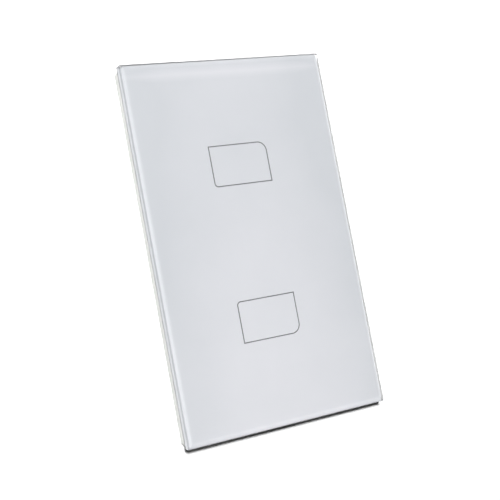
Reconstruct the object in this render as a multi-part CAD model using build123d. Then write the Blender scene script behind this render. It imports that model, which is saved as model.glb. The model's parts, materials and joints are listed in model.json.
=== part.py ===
from build123d import *
import os
from math import atan, degrees

# A two-gang glass touch switch, standing as it does on a wall. X is to the right, Z is up and
# Y runs into the wall. The wall's surface is y = 0, so all that shows in the room has a negative y.
# All lengths are in millimetres.

# The face that shows in the room
panel_width = 72.0
panel_height = 120.0

# The layers in front of the wall, from the wall to the room. Together they stand 8 mm proud.
yoke_thickness = 1.2
base_plate_thickness = 1.8
panel_air = 0.3
flange_thickness = 1.2
tape_thickness = 0.3
print_thickness = 0.2
glass_thickness = 3.0

yoke_front = -yoke_thickness
base_front = yoke_front - base_plate_thickness
flange_back = base_front - panel_air
flange_front = flange_back - flange_thickness
tape_front = flange_front - tape_thickness
print_front = tape_front - print_thickness
glass_front = print_front - glass_thickness

# The glass: its front edges are ground to an arc that runs out into the face
glass_arc_width = 1.6
glass_arc_drop = 0.7
glass_arris = 0.2

# The printed backing and the outlines of the two touch marks
print_margin = 0.3
mark_width = 21.0
mark_height = 13.5
mark_line = 0.35
mark_large_radius = 3.15
mark_small_radius = 1.35

# The plastic frame behind the glass
frame_inset = 0.5
frame_draft = 0.2
frame_corner_radius = 1.2
rim_wall = 1.6
rim_wall_air = 0.4
flange_side_width = 7.0
flange_end_width = 10.0
flange_window_radius = 3.0
tape_edge = 0.4
peg_radius = 1.5
peg_clearance = 0.08
peg_edge = 4.4
peg_depth = 1.4
pry_notch_width = 12.0
pry_notch_depth = 1.6

# The base frame, which stays on the wall, and the steel yoke that it covers
rim_air = 0.7
skirt_wall = 1.5
skirt_wall_air = 0.2
base_corner_radius = 1.5
yoke_air = 0.3
yoke_corner_radius = 3.0
yoke_screw_spacing = 83.3
yoke_hole_radius = 2.1
ear_window_radius = 6.0
base_width = panel_width - 2 * (frame_inset + rim_wall + rim_air)
base_height = panel_height - 2 * (frame_inset + rim_wall + rim_air)
yoke_width = base_width - 2 * (skirt_wall + yoke_air)
yoke_height = base_height - 2 * (skirt_wall + yoke_air)

# The two pins of the base frame that run through the yoke and are melted flush behind it
stake_radius_share = 0.2
stake_clearance = 0.05
stake_setback = 0.1

# The leaf springs in the base frame's sides, which snap into pockets in the panel's rim
leaf_offset = 35.0
leaf_span = 14.6
leaf_foot = 1.4
leaf_thickness = 0.3
leaf_width = 1.2
leaf_side_air = 0.2
leaf_seat_depth = 0.9
leaf_lip = 0.45
leaf_reach = 0.25
rim_pocket_depth = 0.6
rim_pocket_length = 11.0

# The relays, which set how wide the housing is and how far apart the two boards stand
relay_width = 19.0
relay_height = 15.2
relay_depth = 12.0
relay_gap = 1.4
relay_side_air = 1.5
relay_front_air = 2.3
relay_chamfer = 0.6
relay_foot = 0.5
relay_foot_depth = 1.2

# The screw terminals: a cage climbs along each screw and pinches the wire against a fixed bar
way_count = 4
way_partition = 0.8
wire_room = 4.5
clamp_side_air = 0.15
clamp_side_wall = 0.6
clamp_jaw = 0.8
clamp_head = 1.0
clamp_length = 6.4
clamp_air = 0.2
clamp_travel = 2.0
bar_thickness = 0.8
bar_side_air = 0.15
screw_radius = 1.5
screw_clearance = 0.08
screw_tip_air = 0.1
screw_head_radius = 2.3
screw_head_depth = 1.4
screw_head_recess = 1.0
screw_slot_width = 0.8
screw_slot_depth = 0.7
well_air = 0.3
entry_wall = 1.2
end_wall = 1.2
block_air = 0.1
entry_flare = 0.3
chamber_height = clamp_air + clamp_length + clamp_air + bar_thickness + clamp_air
block_height = entry_wall + chamber_height + end_wall

# The other parts on the power board
transformer_width = 16.0
transformer_height = 15.0
transformer_depth = 12.0
core_thickness = 5.2
core_leg = 3.0
core_centre_leg = 4.4
coil_air = 0.2
coil_chamfer = 0.8
capacitor_radius = 4.0
capacitor_depth = 11.5
capacitor_chamfer = 0.4
suppressor_width = 17.5
suppressor_height = 6.0
suppressor_depth = 10.5
suppressor_chamfer = 0.5
varistor_radius = 4.6
varistor_thickness = 3.8
varistor_rim = 0.8
varistor_lift = 0.8
lead_side = 0.6
lead_spread_share = 0.55
fuse_width = 8.4
fuse_height = 4.3
fuse_depth = 7.7
fuse_chamfer = 0.5

# The housing behind the wall's surface, and the two boards in it
row_gap = 1.5
top_row_height = 17.4
housing_wall = 1.8
housing_corner_radius = 3.0
housing_chamfer = 1.5
board_thickness = 1.6
board_air = 0.2
board_setback = 0.4
boss_radius = 3.0
boss_sink = 0.2
boss_air = 1.0
block_lip = 1.0
ledge_depth = 1.4
ledge_length = 9.0
ledge_offset = 8.0
inner_width = 2 * relay_width + relay_gap + 2 * relay_side_air
inner_height = (
    block_air + block_height + row_gap + relay_height + row_gap + transformer_height + row_gap + top_row_height
)
housing_width = inner_width + 2 * housing_wall
housing_height = inner_height + 2 * housing_wall
inner_radius = housing_corner_radius - housing_wall
board_width = inner_width - 2 * board_air
board_height = inner_height - 2 * board_air
yoke_side = yoke_width / 2 - housing_width / 2 - yoke_air
stake_x = yoke_width / 2 - yoke_side / 2
stake_radius = yoke_side * stake_radius_share
touch_board_front = board_setback
touch_board_back = touch_board_front + board_thickness
power_board_front = touch_board_back + relay_front_air + relay_depth
power_board_back = power_board_front + board_thickness

# The widths of the terminals, which fill the room between the housing's two bosses
block_width = inner_width - 2 * (2 * boss_radius - boss_sink + boss_air)
way_pitch = (block_width - way_partition) / way_count
chamber_width = way_pitch - way_partition
clamp_width = chamber_width - 2 * clamp_side_air
wire_width = clamp_width - 2 * clamp_side_wall
bar_width = wire_width - 2 * bar_side_air

# The depths in a terminal, from the power board to the back of the housing
clamp_front = power_board_back + clamp_air
jaw_back = clamp_front + clamp_jaw
bar_front = jaw_back + wire_room
bar_back = bar_front + bar_thickness
clamp_head_front = bar_back + clamp_air
clamp_back = clamp_head_front + clamp_head
chamber_back = clamp_back + clamp_travel + clamp_air
screw_head_front = chamber_back + screw_tip_air
screw_head_back = screw_head_front + screw_head_depth
block_back = screw_head_back + screw_head_recess
inner_back = block_back + block_air
housing_back = inner_back + housing_wall

# The heights in a terminal, from the bottom of the housing up
block_bottom = block_air - inner_height / 2
chamber_bottom = block_bottom + entry_wall
clamp_bottom = chamber_bottom + clamp_air
clamp_top = clamp_bottom + clamp_length
screw_height = (clamp_bottom + clamp_top) / 2
bar_bottom = clamp_bottom + clamp_air
leg_bottom = clamp_top + clamp_air
leg_top = leg_bottom + bar_thickness
block_top = block_bottom + block_height

# The rows of parts on the power board, from the terminals up
relay_middle = block_top + row_gap + relay_height / 2
transformer_middle = relay_middle + relay_height / 2 + row_gap + transformer_height / 2
top_row_bottom = transformer_middle + transformer_height / 2 + row_gap

# The two screws, in opposite corners, that hold the housing and the touch board to the base frame
case_screw_radius = 1.1
case_screw_clearance = 0.05
case_screw_length = 15.0
case_head_radius = 2.2
case_head_depth = 1.0
case_head_air = 0.1
case_hole_air = 0.3
board_pad_side = 4.6
recess_width = 0.5
recess_length = 2.2
recess_depth = 0.45
case_screw_x = inner_width / 2 - boss_radius + boss_sink
case_screw_z = inner_height / 2 - boss_radius + boss_sink

# Each touch mark has a light guide, a contact spring and two lamps behind it
guide_margin = 1.2
guide_air = 0.3
guide_back_air = 0.2
guide_stem_width = 18.0
guide_stem_height = 11.0
guide_stem_edge = 0.4
guide_bore_width = 6.4
guide_bore_height = 5.0
lamp_offset = 6.4
lamp_width = 2.8
lamp_height = 2.6
lamp_depth = 0.8
lamp_air = 0.3
lamp_chamfer = 0.3
spring_length = 5.2
spring_width = 4.0
spring_thickness = 0.2
spring_bend_radius = 0.8
spring_crown_share = 0.12
spring_tail_drop = 1.4
guide_head_width = mark_width + 2 * guide_margin
guide_head_height = mark_height + 2 * guide_margin
mark_offset = inner_height / 2 - guide_stem_height / 2 - guide_stem_edge

# The parts on the back of the touch board, and the plug that joins the two boards
chip_width = 9.9
chip_height = 3.9
chip_depth = 1.5
chip_leg_count = 7
chip_leg_pitch = 1.27
chip_leg_width = 0.42
chip_leg_reach = 1.0
chip_leg_thickness = 0.2
chip_leg_foot = 0.6
pin_count = 5
pin_pitch = 2.54
pin_side = 0.64
pin_air = 0.15
plug_thickness = 2.5
plug_edge = 1.4
header_depth = 2.5
socket_depth = 8.5
pin_overlap = 5.0
plug_width = pin_count * pin_pitch

# How far every cut runs past the solid that it is taken from
overrun = 1.0


def block(left, right, front, back, bottom, top):
    """A rectangular block between two corners."""
    size = Box(right - left, back - front, top - bottom)
    return Pos((left + right) / 2, (front + back) / 2, (bottom + top) / 2) * size


def upright(sketch, front, back):
    """A flat outline, drawn as seen from the room, made solid between two depths."""
    return Pos(0, back, 0) * extrude(Plane.XZ * sketch, back - front)


def sheet(width, height, radius, front, back):
    """A rounded rectangle made solid between two depths."""
    return upright(RectangleRounded(width, height, radius), front, back)


def rod(radius, front, back, x=0, z=0):
    """A round bar along Y."""
    return upright(Pos(x, z) * Circle(radius), front, back)


def four_corners(x, z):
    """The same place in each quarter of the face."""
    return [(side * x, end * z) for side in (-1, 1) for end in (-1, 1)]


def opposite_corners(x, z):
    """Two places, in the upper left and the lower right of the face."""
    return [(-x, z), (x, -z)]


def cross_recess(front, back, x, z):
    """The cross that a screwdriver turns."""
    bar = upright(Rectangle(recess_length, recess_width), front, back)
    return Pos(x, 0, z) * (bar + Rot(0, 90, 0) * bar)


def way_middles():
    """The middle of each terminal, from left to right as seen from the room."""
    first = -(way_count - 1) * way_pitch / 2
    return [first + way_pitch * number for number in range(way_count)]


def arc_ground_profile(width):
    """A cut through the glass, drawn from its middle, with the room upwards on the page."""
    edge = width / 2
    flat = edge - glass_arc_width
    face = -glass_front
    shoulder = face - glass_arc_drop
    back = -print_front
    outline = Line((-edge, back), (edge, back)) + Line((edge, back), (edge, shoulder))
    outline += TangentArc((flat, face), (edge, shoulder), tangent=(1, 0))
    outline += Line((flat, face), (-flat, face))
    outline += TangentArc((-flat, face), (-edge, shoulder), tangent=(-1, 0))
    outline += Line((-edge, shoulder), (-edge, back))
    return make_face(outline)


def glass_plate():
    """The glass, as two long profiles crossed, so that the ground arcs meet in a mitre at each corner."""
    across = Plane((0, 0, -panel_height), x_dir=(1, 0, 0), z_dir=(0, 0, 1))
    along = Plane((-panel_width, 0, 0), x_dir=(0, 0, 1), z_dir=(1, 0, 0))
    upright_bar = extrude(across * Rot(180, 0, 0) * arc_ground_profile(panel_width), -2 * panel_height)
    level_bar = extrude(along * arc_ground_profile(panel_height), 2 * panel_width)
    glass = upright_bar & level_bar
    back_face = glass.faces().sort_by(Axis.Y)[-1]
    return chamfer(back_face.edges(), glass_arris)


def mark_shape(shrink, end):
    """A touch mark's outline, drawn in by a given amount, for the upper end (1) or the lower end (-1)."""
    shape = Rectangle(mark_width - 2 * shrink, mark_height - 2 * shrink)
    upper = shape.vertices().group_by(Axis.Y)[-1].sort_by(Axis.X)
    shape = fillet(upper[-1], mark_large_radius - shrink)
    lower = shape.vertices().group_by(Axis.Y)[0].sort_by(Axis.X)
    shape = fillet(lower[0], mark_small_radius - shrink)
    if end < 0:
        shape = mirror(shape, Plane.XZ)
    return Pos(0, end * mark_offset) * shape


def mark_ring(end):
    """The thin line of a touch mark."""
    return mark_shape(0, end) - mark_shape(mark_line, end)


def printed_backing():
    """The white print behind the glass, parted by the thin line of each mark."""
    backing = Rectangle(panel_width - 2 * print_margin, panel_height - 2 * print_margin)
    backing = backing - mark_ring(1) - mark_ring(-1)
    return upright(backing, print_front, tape_front)


def mark_window(end):
    """The grey line of one mark, which lets the lamps' light out."""
    return upright(mark_ring(end), print_front, tape_front)


def frame_outer_size():
    """The width and height of the plastic frame at its front."""
    return panel_width - 2 * frame_inset, panel_height - 2 * frame_inset


def flange_window_size():
    """The width and height of the opening in the frame's flange."""
    width, height = frame_outer_size()
    return width - 2 * flange_side_width, height - 2 * flange_end_width


def bonding_tape():
    """The foam tape that holds the glass to the frame's flange."""
    width, height = frame_outer_size()
    tape = sheet(width - 2 * tape_edge, height - 2 * tape_edge, frame_corner_radius, tape_front, flange_front)
    inner_width_here, inner_height_here = flange_window_size()
    opening = sheet(
        inner_width_here + 2 * tape_edge,
        inner_height_here + 2 * tape_edge,
        flange_window_radius,
        tape_front - overrun,
        flange_front + overrun,
    )
    return tape - opening


def rim_pockets():
    """The pockets in the rim that the leaf springs snap into."""
    inner = panel_width / 2 - frame_inset - rim_wall
    front, back = leaf_band()
    pocket = block(
        inner - overrun,
        inner + rim_pocket_depth,
        front,
        back,
        leaf_offset - rim_pocket_length / 2,
        leaf_offset + rim_pocket_length / 2,
    )
    pair = pocket + mirror(pocket, Plane.XY)
    return pair + mirror(pair, Plane.YZ)


def leaf_band():
    """The depths between which a leaf spring and its room lie."""
    middle = (base_front + yoke_front) / 2
    half = leaf_width / 2 + leaf_side_air
    return middle - half, middle + half


def panel_frame():
    """The frame behind the glass: a drafted rim, a flange for the tape, and pegs that find the base."""
    width, height = frame_outer_size()
    rim_back = -rim_wall_air
    depth = rim_back - flange_front
    back_outline = RectangleRounded(width - 2 * frame_draft, height - 2 * frame_draft, frame_corner_radius)
    draft_angle = degrees(atan(frame_draft / depth))
    frame = Pos(0, rim_back, 0) * extrude(Plane.XZ * back_outline, depth, taper=-draft_angle)
    hollow_width = width - 2 * rim_wall
    hollow_height = height - 2 * rim_wall
    frame -= sheet(hollow_width, hollow_height, base_corner_radius, flange_back, rim_back + overrun)
    window_width, window_height = flange_window_size()
    frame -= sheet(window_width, window_height, flange_window_radius, flange_front - overrun, flange_back + overrun)
    frame -= rim_pockets()
    frame -= block(
        -pry_notch_width / 2,
        pry_notch_width / 2,
        rim_back - pry_notch_depth,
        rim_back + overrun,
        -panel_height / 2,
        rim_wall + overrun - panel_height / 2,
    )
    for x, z in opposite_corners(*peg_place()):
        frame += rod(peg_radius, flange_back, base_front + peg_depth, x, z)
    return frame


def peg_place():
    """How far the pegs stand from the middle, to the side and up."""
    inset = frame_inset + rim_wall + peg_edge
    return panel_width / 2 - inset, panel_height / 2 - inset


def leaf_seats():
    """The seats of the leaf springs in the base frame's sides: a deep slot under two lips."""
    edge = base_width / 2
    front, back = leaf_band()
    half = leaf_span / 2
    foot = half + leaf_foot + leaf_side_air
    slot = block(edge - leaf_seat_depth, edge - leaf_lip, front, back, leaf_offset - foot, leaf_offset + foot)
    mouth = block(edge - leaf_seat_depth, edge + overrun, front, back, leaf_offset - half, leaf_offset + half)
    pair = slot + mouth
    pair = pair + mirror(pair, Plane.XY)
    return pair + mirror(pair, Plane.YZ)


def light_windows():
    """The openings in the base frame for the light guides' heads."""
    openings = Part()
    for end in (-1, 1):
        window = Rectangle(guide_head_width + 2 * guide_air, guide_head_height + 2 * guide_air)
        openings += upright(Pos(0, end * mark_offset) * window, base_front - overrun, yoke_front + overrun)
    return openings


def base_frame():
    """The plastic frame that covers the yoke, with windows for the lights and the mounting screws."""
    base = sheet(base_width, base_height, base_corner_radius, base_front, -skirt_wall_air)
    cavity_width = base_width - 2 * skirt_wall
    cavity_height = base_height - 2 * skirt_wall
    base -= sheet(cavity_width, cavity_height, yoke_corner_radius, yoke_front, overrun)
    base -= light_windows()
    base -= leaf_seats()
    for end in (-1, 1):
        middle = end * yoke_screw_spacing / 2
        base -= rod(ear_window_radius, base_front - overrun, yoke_front + overrun, 0, middle)
    for x, z in opposite_corners(*peg_place()):
        base -= rod(peg_radius + peg_clearance, base_front - overrun, yoke_front + overrun, x, z)
    half = board_pad_side / 2
    for x, z in four_corners(case_screw_x, case_screw_z):
        base += block(x - half, x + half, yoke_front, touch_board_front, z - half, z + half)
    for x, z in opposite_corners(case_screw_x, case_screw_z):
        base -= rod(case_screw_radius + case_hole_air, base_front, touch_board_front + overrun, x, z)
        head_room = base_front + case_head_air + case_head_depth
        base -= rod(case_head_radius + case_hole_air, base_front - overrun, head_room, x, z)
    for x in (-stake_x, stake_x):
        base += rod(stake_radius, yoke_front, -stake_setback, x)
    return base


def mounting_yoke():
    """The steel plate that bears on the wall, with the two screw holes of a wall box."""
    yoke = sheet(yoke_width, yoke_height, yoke_corner_radius, yoke_front, 0)
    window_width = housing_width + 2 * yoke_air
    window_height = housing_height + 2 * yoke_air
    yoke -= sheet(window_width, window_height, housing_corner_radius + yoke_air, yoke_front - overrun, overrun)
    for end in (-1, 1):
        yoke -= rod(yoke_hole_radius, yoke_front - overrun, overrun, 0, end * yoke_screw_spacing / 2)
    for x in (-stake_x, stake_x):
        yoke -= rod(stake_radius + stake_clearance, yoke_front - overrun, overrun, x)
    return yoke


def leaf_spring():
    """One leaf spring, bent from a strip: two flat feet and a crown that bows out of the base frame."""
    floor = base_width / 2 - leaf_seat_depth
    crown = base_width / 2 + rim_air + leaf_reach
    foot = leaf_span / 2 + leaf_foot
    half = leaf_span / 2
    inner = Polyline((floor, -foot), (floor, -half)) + Polyline((floor, half), (floor, foot))
    inner += ThreePointArc((floor, -half), (crown - leaf_thickness, 0), (floor, half))
    face = floor + leaf_thickness
    outer = Polyline((face, foot), (face, half)) + Polyline((face, -half), (face, -foot))
    outer += ThreePointArc((face, half), (crown, 0), (face, -half))
    ends = Line((floor, foot), (face, foot)) + Line((face, -foot), (floor, -foot))
    middle = (base_front + yoke_front) / 2
    return upright(make_face(inner + outer + ends), middle - leaf_width / 2, middle + leaf_width / 2)


def leaf_springs():
    """The four leaf springs, two in each side of the base frame."""
    one = leaf_spring()
    side = (Pos(0, 0, leaf_offset) * one).solids() + (Pos(0, 0, -leaf_offset) * one).solids()
    return Compound(side + [mirror(solid, Plane.YZ) for solid in side])


def board_ledges():
    """The ribs on the housing's walls that the power board rests on."""
    side_wall = inner_width / 2
    low = ledge_offset - ledge_length / 2
    high = ledge_offset + ledge_length / 2
    side = block(side_wall - ledge_depth, side_wall + boss_sink, power_board_back, inner_back, low, high)
    top_wall = inner_height / 2
    half = ledge_length / 2
    top = block(-half, half, power_board_back, inner_back, top_wall - ledge_depth, top_wall + boss_sink)
    return side + mirror(side, Plane.YZ) + top


def wire_entries():
    """The openings under the housing for the wires, each a little wider than its terminal."""
    half = wire_width / 2 + entry_flare
    bottom = -housing_height / 2
    entries = Part()
    for x in way_middles():
        entries += block(
            x - half, x + half, jaw_back - entry_flare, bar_front + entry_flare, bottom - overrun, block_bottom
        )
    return entries


def rear_housing():
    """The moulded housing in the wall box, with screw bosses, ledges and openings for the terminals."""
    housing = sheet(housing_width, housing_height, housing_corner_radius, yoke_front, housing_back)
    housing = chamfer(housing.faces().sort_by(Axis.Y)[-1].edges(), housing_chamfer)
    housing -= sheet(inner_width, inner_height, inner_radius, yoke_front - overrun, inner_back)
    for x, z in opposite_corners(case_screw_x, case_screw_z):
        housing += rod(boss_radius, touch_board_back, inner_back + boss_sink, x, z)
        screw_end = base_front + case_head_air + case_head_depth + case_screw_length
        hole_radius = case_screw_radius + case_screw_clearance
        housing -= rod(hole_radius, touch_board_back - overrun, screw_end + overrun, x, z)
    housing += board_ledges()
    housing -= wire_entries()
    half = block_width / 2 - block_lip
    housing -= block(
        -half, half, inner_back - overrun, housing_back + overrun, block_bottom + block_lip, block_top - block_lip
    )
    return housing


def case_screws():
    """The two screws that hold the case together, with round heads sunk in the base frame."""
    under_head = base_front + case_head_air + case_head_depth
    solids = []
    for x, z in opposite_corners(case_screw_x, case_screw_z):
        head = rod(case_head_radius, base_front + case_head_air, under_head, x, z)
        shank = rod(case_screw_radius, under_head, under_head + case_screw_length, x, z)
        head_front = base_front + case_head_air
        head -= cross_recess(head_front - overrun, head_front + recess_depth, x, z)
        solids += (head + shank).solids()
    return Compound(solids)


def touch_board():
    """The front circuit board, held between the base frame's pads and the housing's bosses."""
    board = sheet(board_width, board_height, inner_radius, touch_board_front, touch_board_back)
    for x, z in opposite_corners(case_screw_x, case_screw_z):
        board -= rod(
            case_screw_radius + case_hole_air, touch_board_front - overrun, touch_board_back + overrun, x, z
        )
    return board


def power_board():
    """The rear circuit board, notched round the housing's bosses."""
    board = sheet(board_width, board_height, inner_radius, power_board_front, power_board_back)
    for x, z in opposite_corners(case_screw_x, case_screw_z):
        notch = rod(boss_radius + board_air, power_board_front - overrun, power_board_back + overrun, x, z)
        left, right = sorted((x, x + x))
        bottom, top = sorted((z, z + z))
        corner = block(left, right, power_board_front - overrun, power_board_back + overrun, bottom, top)
        board = board - notch - corner
    return board


def lamp_places():
    """The middles of the four lamps, two behind each mark."""
    return four_corners(lamp_offset, mark_offset)


def light_guide(end):
    """A clear guide: a wide head behind the mark, a stem to the board, and a room for the contact spring."""
    head_front = tape_front + guide_air
    head_back = yoke_front - guide_back_air
    guide = upright(Rectangle(guide_head_width, guide_head_height), head_front, head_back)
    guide += upright(Rectangle(guide_stem_width, guide_stem_height), head_back, touch_board_front)
    spring_room = Rectangle(guide_bore_width, guide_bore_height)
    guide -= upright(spring_room, head_front - overrun, touch_board_front + overrun)
    for side in (-1, 1):
        middle = side * lamp_offset
        across = lamp_width / 2 + lamp_air
        up = lamp_height / 2 + lamp_air
        room_front = touch_board_front - lamp_depth - lamp_air
        guide -= block(middle - across, middle + across, room_front, touch_board_front + overrun, -up, up)
    return Pos(0, 0, end * mark_offset) * guide


def lamps():
    """The small lamps on the front of the touch board."""
    solids = []
    front = touch_board_front - lamp_depth
    across = lamp_width / 2
    up = lamp_height / 2
    for x, z in lamp_places():
        lamp = block(x - across, x + across, front, touch_board_front, z - up, z + up)
        lamp = chamfer(lamp.faces().sort_by(Axis.Y)[0].edges(), lamp_chamfer)
        solids += lamp.solids()
    return Compound(solids)


def contact_spring(end):
    """A contact spring, bent from strip: a foot on the touch board, and a round crown just behind the mark."""
    back = touch_board_front - spring_thickness / 2
    front = tape_front + spring_thickness / 2
    half = spring_length / 2
    path = FilletPolyline(
        (-half, back),
        (half, back),
        (-spring_length * spring_crown_share, front),
        (-half, front + spring_tail_drop),
        radius=spring_bend_radius,
    )
    strip = extrude(trace(path, spring_thickness), spring_width)
    return Pos(0, 0, end * mark_offset - spring_width / 2) * strip


def touch_chip():
    """The chip that senses a touch, with bent legs along both long sides."""
    back = touch_board_back + chip_depth
    chip = block(-chip_width / 2, chip_width / 2, touch_board_back, back, -chip_height / 2, chip_height / 2)
    first = -(chip_leg_count - 1) * chip_leg_pitch / 2
    root = chip_height / 2
    middle = touch_board_back + chip_depth / 2
    for number in range(chip_leg_count):
        x = first + number * chip_leg_pitch
        left = x - chip_leg_width / 2
        right = x + chip_leg_width / 2
        tip = root + chip_leg_reach
        shoulder = tip - chip_leg_foot
        arm = block(left, right, middle - chip_leg_thickness, middle, root, shoulder)
        drop = block(left, right, touch_board_back, middle, shoulder - chip_leg_thickness, shoulder)
        foot = block(left, right, touch_board_back, touch_board_back + chip_leg_thickness, shoulder, tip)
        leg = arm + drop + foot
        chip = chip + leg + mirror(leg, Plane.XY)
    return chip


def plug_middle():
    """The height of the plug that joins the boards, near their upper edge."""
    return board_height / 2 - plug_edge - plug_thickness / 2


def pin_places():
    """The pins of the plug, from left to right."""
    first = -(pin_count - 1) * pin_pitch / 2
    return [first + pin_pitch * number for number in range(pin_count)]


def board_socket():
    """The socket on the back of the touch board, with a square hole for each pin."""
    middle = plug_middle()
    half = plug_thickness / 2
    back = touch_board_back + socket_depth
    socket = block(-plug_width / 2, plug_width / 2, touch_board_back, back, middle - half, middle + half)
    room = pin_side / 2 + pin_air
    hole_front = back - pin_overlap - pin_air
    for x in pin_places():
        socket -= block(x - room, x + room, hole_front, back + overrun, middle - room, middle + room)
    return socket


def board_header():
    """The row of pins on the power board that goes into the socket."""
    middle = plug_middle()
    half = plug_thickness / 2
    front = power_board_front - header_depth
    header = block(-plug_width / 2, plug_width / 2, front, power_board_front, middle - half, middle + half)
    tip = touch_board_back + socket_depth - pin_overlap
    side = pin_side / 2
    for x in pin_places():
        header += block(x - side, x + side, tip, front, middle - side, middle + side)
    return header


def relay(side):
    """A relay in its sealed case, with a wider foot on the board."""
    front = power_board_front - relay_depth
    step = power_board_front - relay_foot_depth
    case = block(
        -(relay_width / 2 - relay_foot),
        relay_width / 2 - relay_foot,
        front,
        step,
        -(relay_height / 2 - relay_foot),
        relay_height / 2 - relay_foot,
    )
    case = chamfer(case.edges().filter_by(Axis.Y), relay_chamfer)
    case = chamfer(case.faces().sort_by(Axis.Y)[0].edges(), relay_chamfer)
    foot = block(-relay_width / 2, relay_width / 2, step, power_board_front, -relay_height / 2, relay_height / 2)
    return Pos(side * (relay_width + relay_gap) / 2, 0, relay_middle) * (case + foot)


def transformer_place():
    """The transformer stands in the left half of its row."""
    return Pos(-(relay_width + relay_gap) / 2, 0, transformer_middle)


def transformer_core():
    """The ferrite core: a frame with two windows beside its middle leg."""
    front = power_board_front - transformer_depth
    half = core_thickness / 2
    core = block(-transformer_width / 2, transformer_width / 2, front, power_board_front, -half, half)
    window_inner = core_centre_leg / 2
    window_outer = transformer_width / 2 - core_leg
    for side in (-1, 1):
        low, high = sorted((side * window_inner, side * window_outer))
        core -= block(low, high, front + core_leg, power_board_front - core_leg, -half - overrun, half + overrun)
    return transformer_place() * core


def transformer_coil():
    """The taped winding round the core's middle leg."""
    front = power_board_front - transformer_depth + core_leg + coil_air
    back = power_board_front - core_leg - coil_air
    width = transformer_width - 2 * core_leg - 2 * coil_air
    coil = upright(chamfer(Rectangle(width, transformer_height).vertices(), coil_chamfer), front, back)
    leg = core_centre_leg / 2 + coil_air
    half = core_thickness / 2 + coil_air
    coil -= block(-leg, leg, front - overrun, back + overrun, -half, half)
    return transformer_place() * coil


def smoothing_capacitor():
    """A round capacitor that stands on the board."""
    can = rod(capacitor_radius, power_board_front - capacitor_depth, power_board_front)
    can = chamfer(can.faces().sort_by(Axis.Y)[0].edges(), capacitor_chamfer)
    x = (relay_width + relay_gap) / 2
    return Pos(x, 0, top_row_bottom + capacitor_radius) * can


def suppression_capacitor():
    """The moulded capacitor across the supply."""
    front = power_board_front - suppressor_depth
    half = suppressor_height / 2
    case = block(-suppressor_width / 2, suppressor_width / 2, front, power_board_front, -half, half)
    case = chamfer(case.faces().sort_by(Axis.Y)[0].edges(), suppressor_chamfer)
    return Pos((relay_width + relay_gap) / 2, 0, transformer_middle) * case


def low_row_middle():
    """The height of the parts that stand over the terminals, on the other side of the board."""
    return block_bottom + block_height / 2


def varistor():
    """The surge absorber: a dipped disc on two flat leads."""
    disc_middle = power_board_front - varistor_lift - varistor_radius
    section = Rectangle(varistor_radius, varistor_thickness, align=(Align.MIN, Align.CENTER))
    outer_corners = section.vertices().group_by(Axis.X)[-1]
    section = chamfer(outer_corners, varistor_rim)
    disc = Pos(0, disc_middle, 0) * revolve(Plane.XZ * section, Axis.Z)
    half = lead_side / 2
    for side in (-1, 1):
        x = side * varistor_radius * lead_spread_share
        disc += block(x - half, x + half, disc_middle, power_board_front, -half, half)
    return Pos((relay_width + relay_gap) / 2, 0, low_row_middle()) * disc


def fuse():
    """The small square fuse."""
    half = fuse_width / 2
    front = power_board_front - fuse_depth
    case = block(-half, half, front, power_board_front, -fuse_height / 2, fuse_height / 2)
    case = chamfer(case.faces().sort_by(Axis.Y)[0].edges(), fuse_chamfer)
    return Pos(-(relay_width + relay_gap) / 2, 0, low_row_middle()) * case


def terminal_block():
    """The moulded block of screw terminals: a chamber, a wire entry and a screw well for each way."""
    body = block(-block_width / 2, block_width / 2, power_board_back, block_back, block_bottom, block_top)
    for x in way_middles():
        half = chamber_width / 2
        chamber_top = chamber_bottom + chamber_height
        body -= block(x - half, x + half, power_board_back - overrun, chamber_back, chamber_bottom, chamber_top)
        wire = wire_width / 2
        body -= block(x - wire, x + wire, jaw_back, bar_front, block_bottom - overrun, chamber_bottom + overrun)
        body -= rod(screw_head_radius + well_air, chamber_back - overrun, block_back + overrun, x, screw_height)
    return body


def contact_bars():
    """The fixed bars that the wires are pinched against, each with a leg down to the board."""
    solids = []
    for x in way_middles():
        half = bar_width / 2
        tongue = block(x - half, x + half, bar_front, bar_back, bar_bottom, leg_top)
        leg = block(x - half, x + half, power_board_back, bar_front, leg_bottom, leg_top)
        solids += (tongue + leg).solids()
    return Compound(solids)


def terminal_clamp(x):
    """One cage: its jaw lies in front of the wire, and the screw runs through its head."""
    half = clamp_width / 2
    wire = wire_width / 2
    cage = block(-half, half, clamp_front, clamp_back, clamp_bottom, clamp_top)
    cage -= block(-wire, wire, jaw_back, clamp_head_front, clamp_bottom - overrun, clamp_top + overrun)
    cage -= rod(screw_radius + screw_clearance, clamp_head_front - overrun, clamp_back + overrun, 0, screw_height)
    return Pos(x, 0, 0) * cage


def terminal_screw(x):
    """One terminal screw: its tip bears on the fixed bar, and its slotted head faces the back."""
    screw = rod(screw_radius, bar_back + screw_tip_air, screw_head_front, 0, screw_height)
    screw += rod(screw_head_radius, screw_head_front, screw_head_back, 0, screw_height)
    half = screw_slot_width / 2
    slot_front = screw_head_back - screw_slot_depth
    reach = screw_head_radius + overrun
    screw -= block(-reach, reach, slot_front, screw_head_back + overrun, screw_height - half, screw_height + half)
    return Pos(x, 0, 0) * screw


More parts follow.
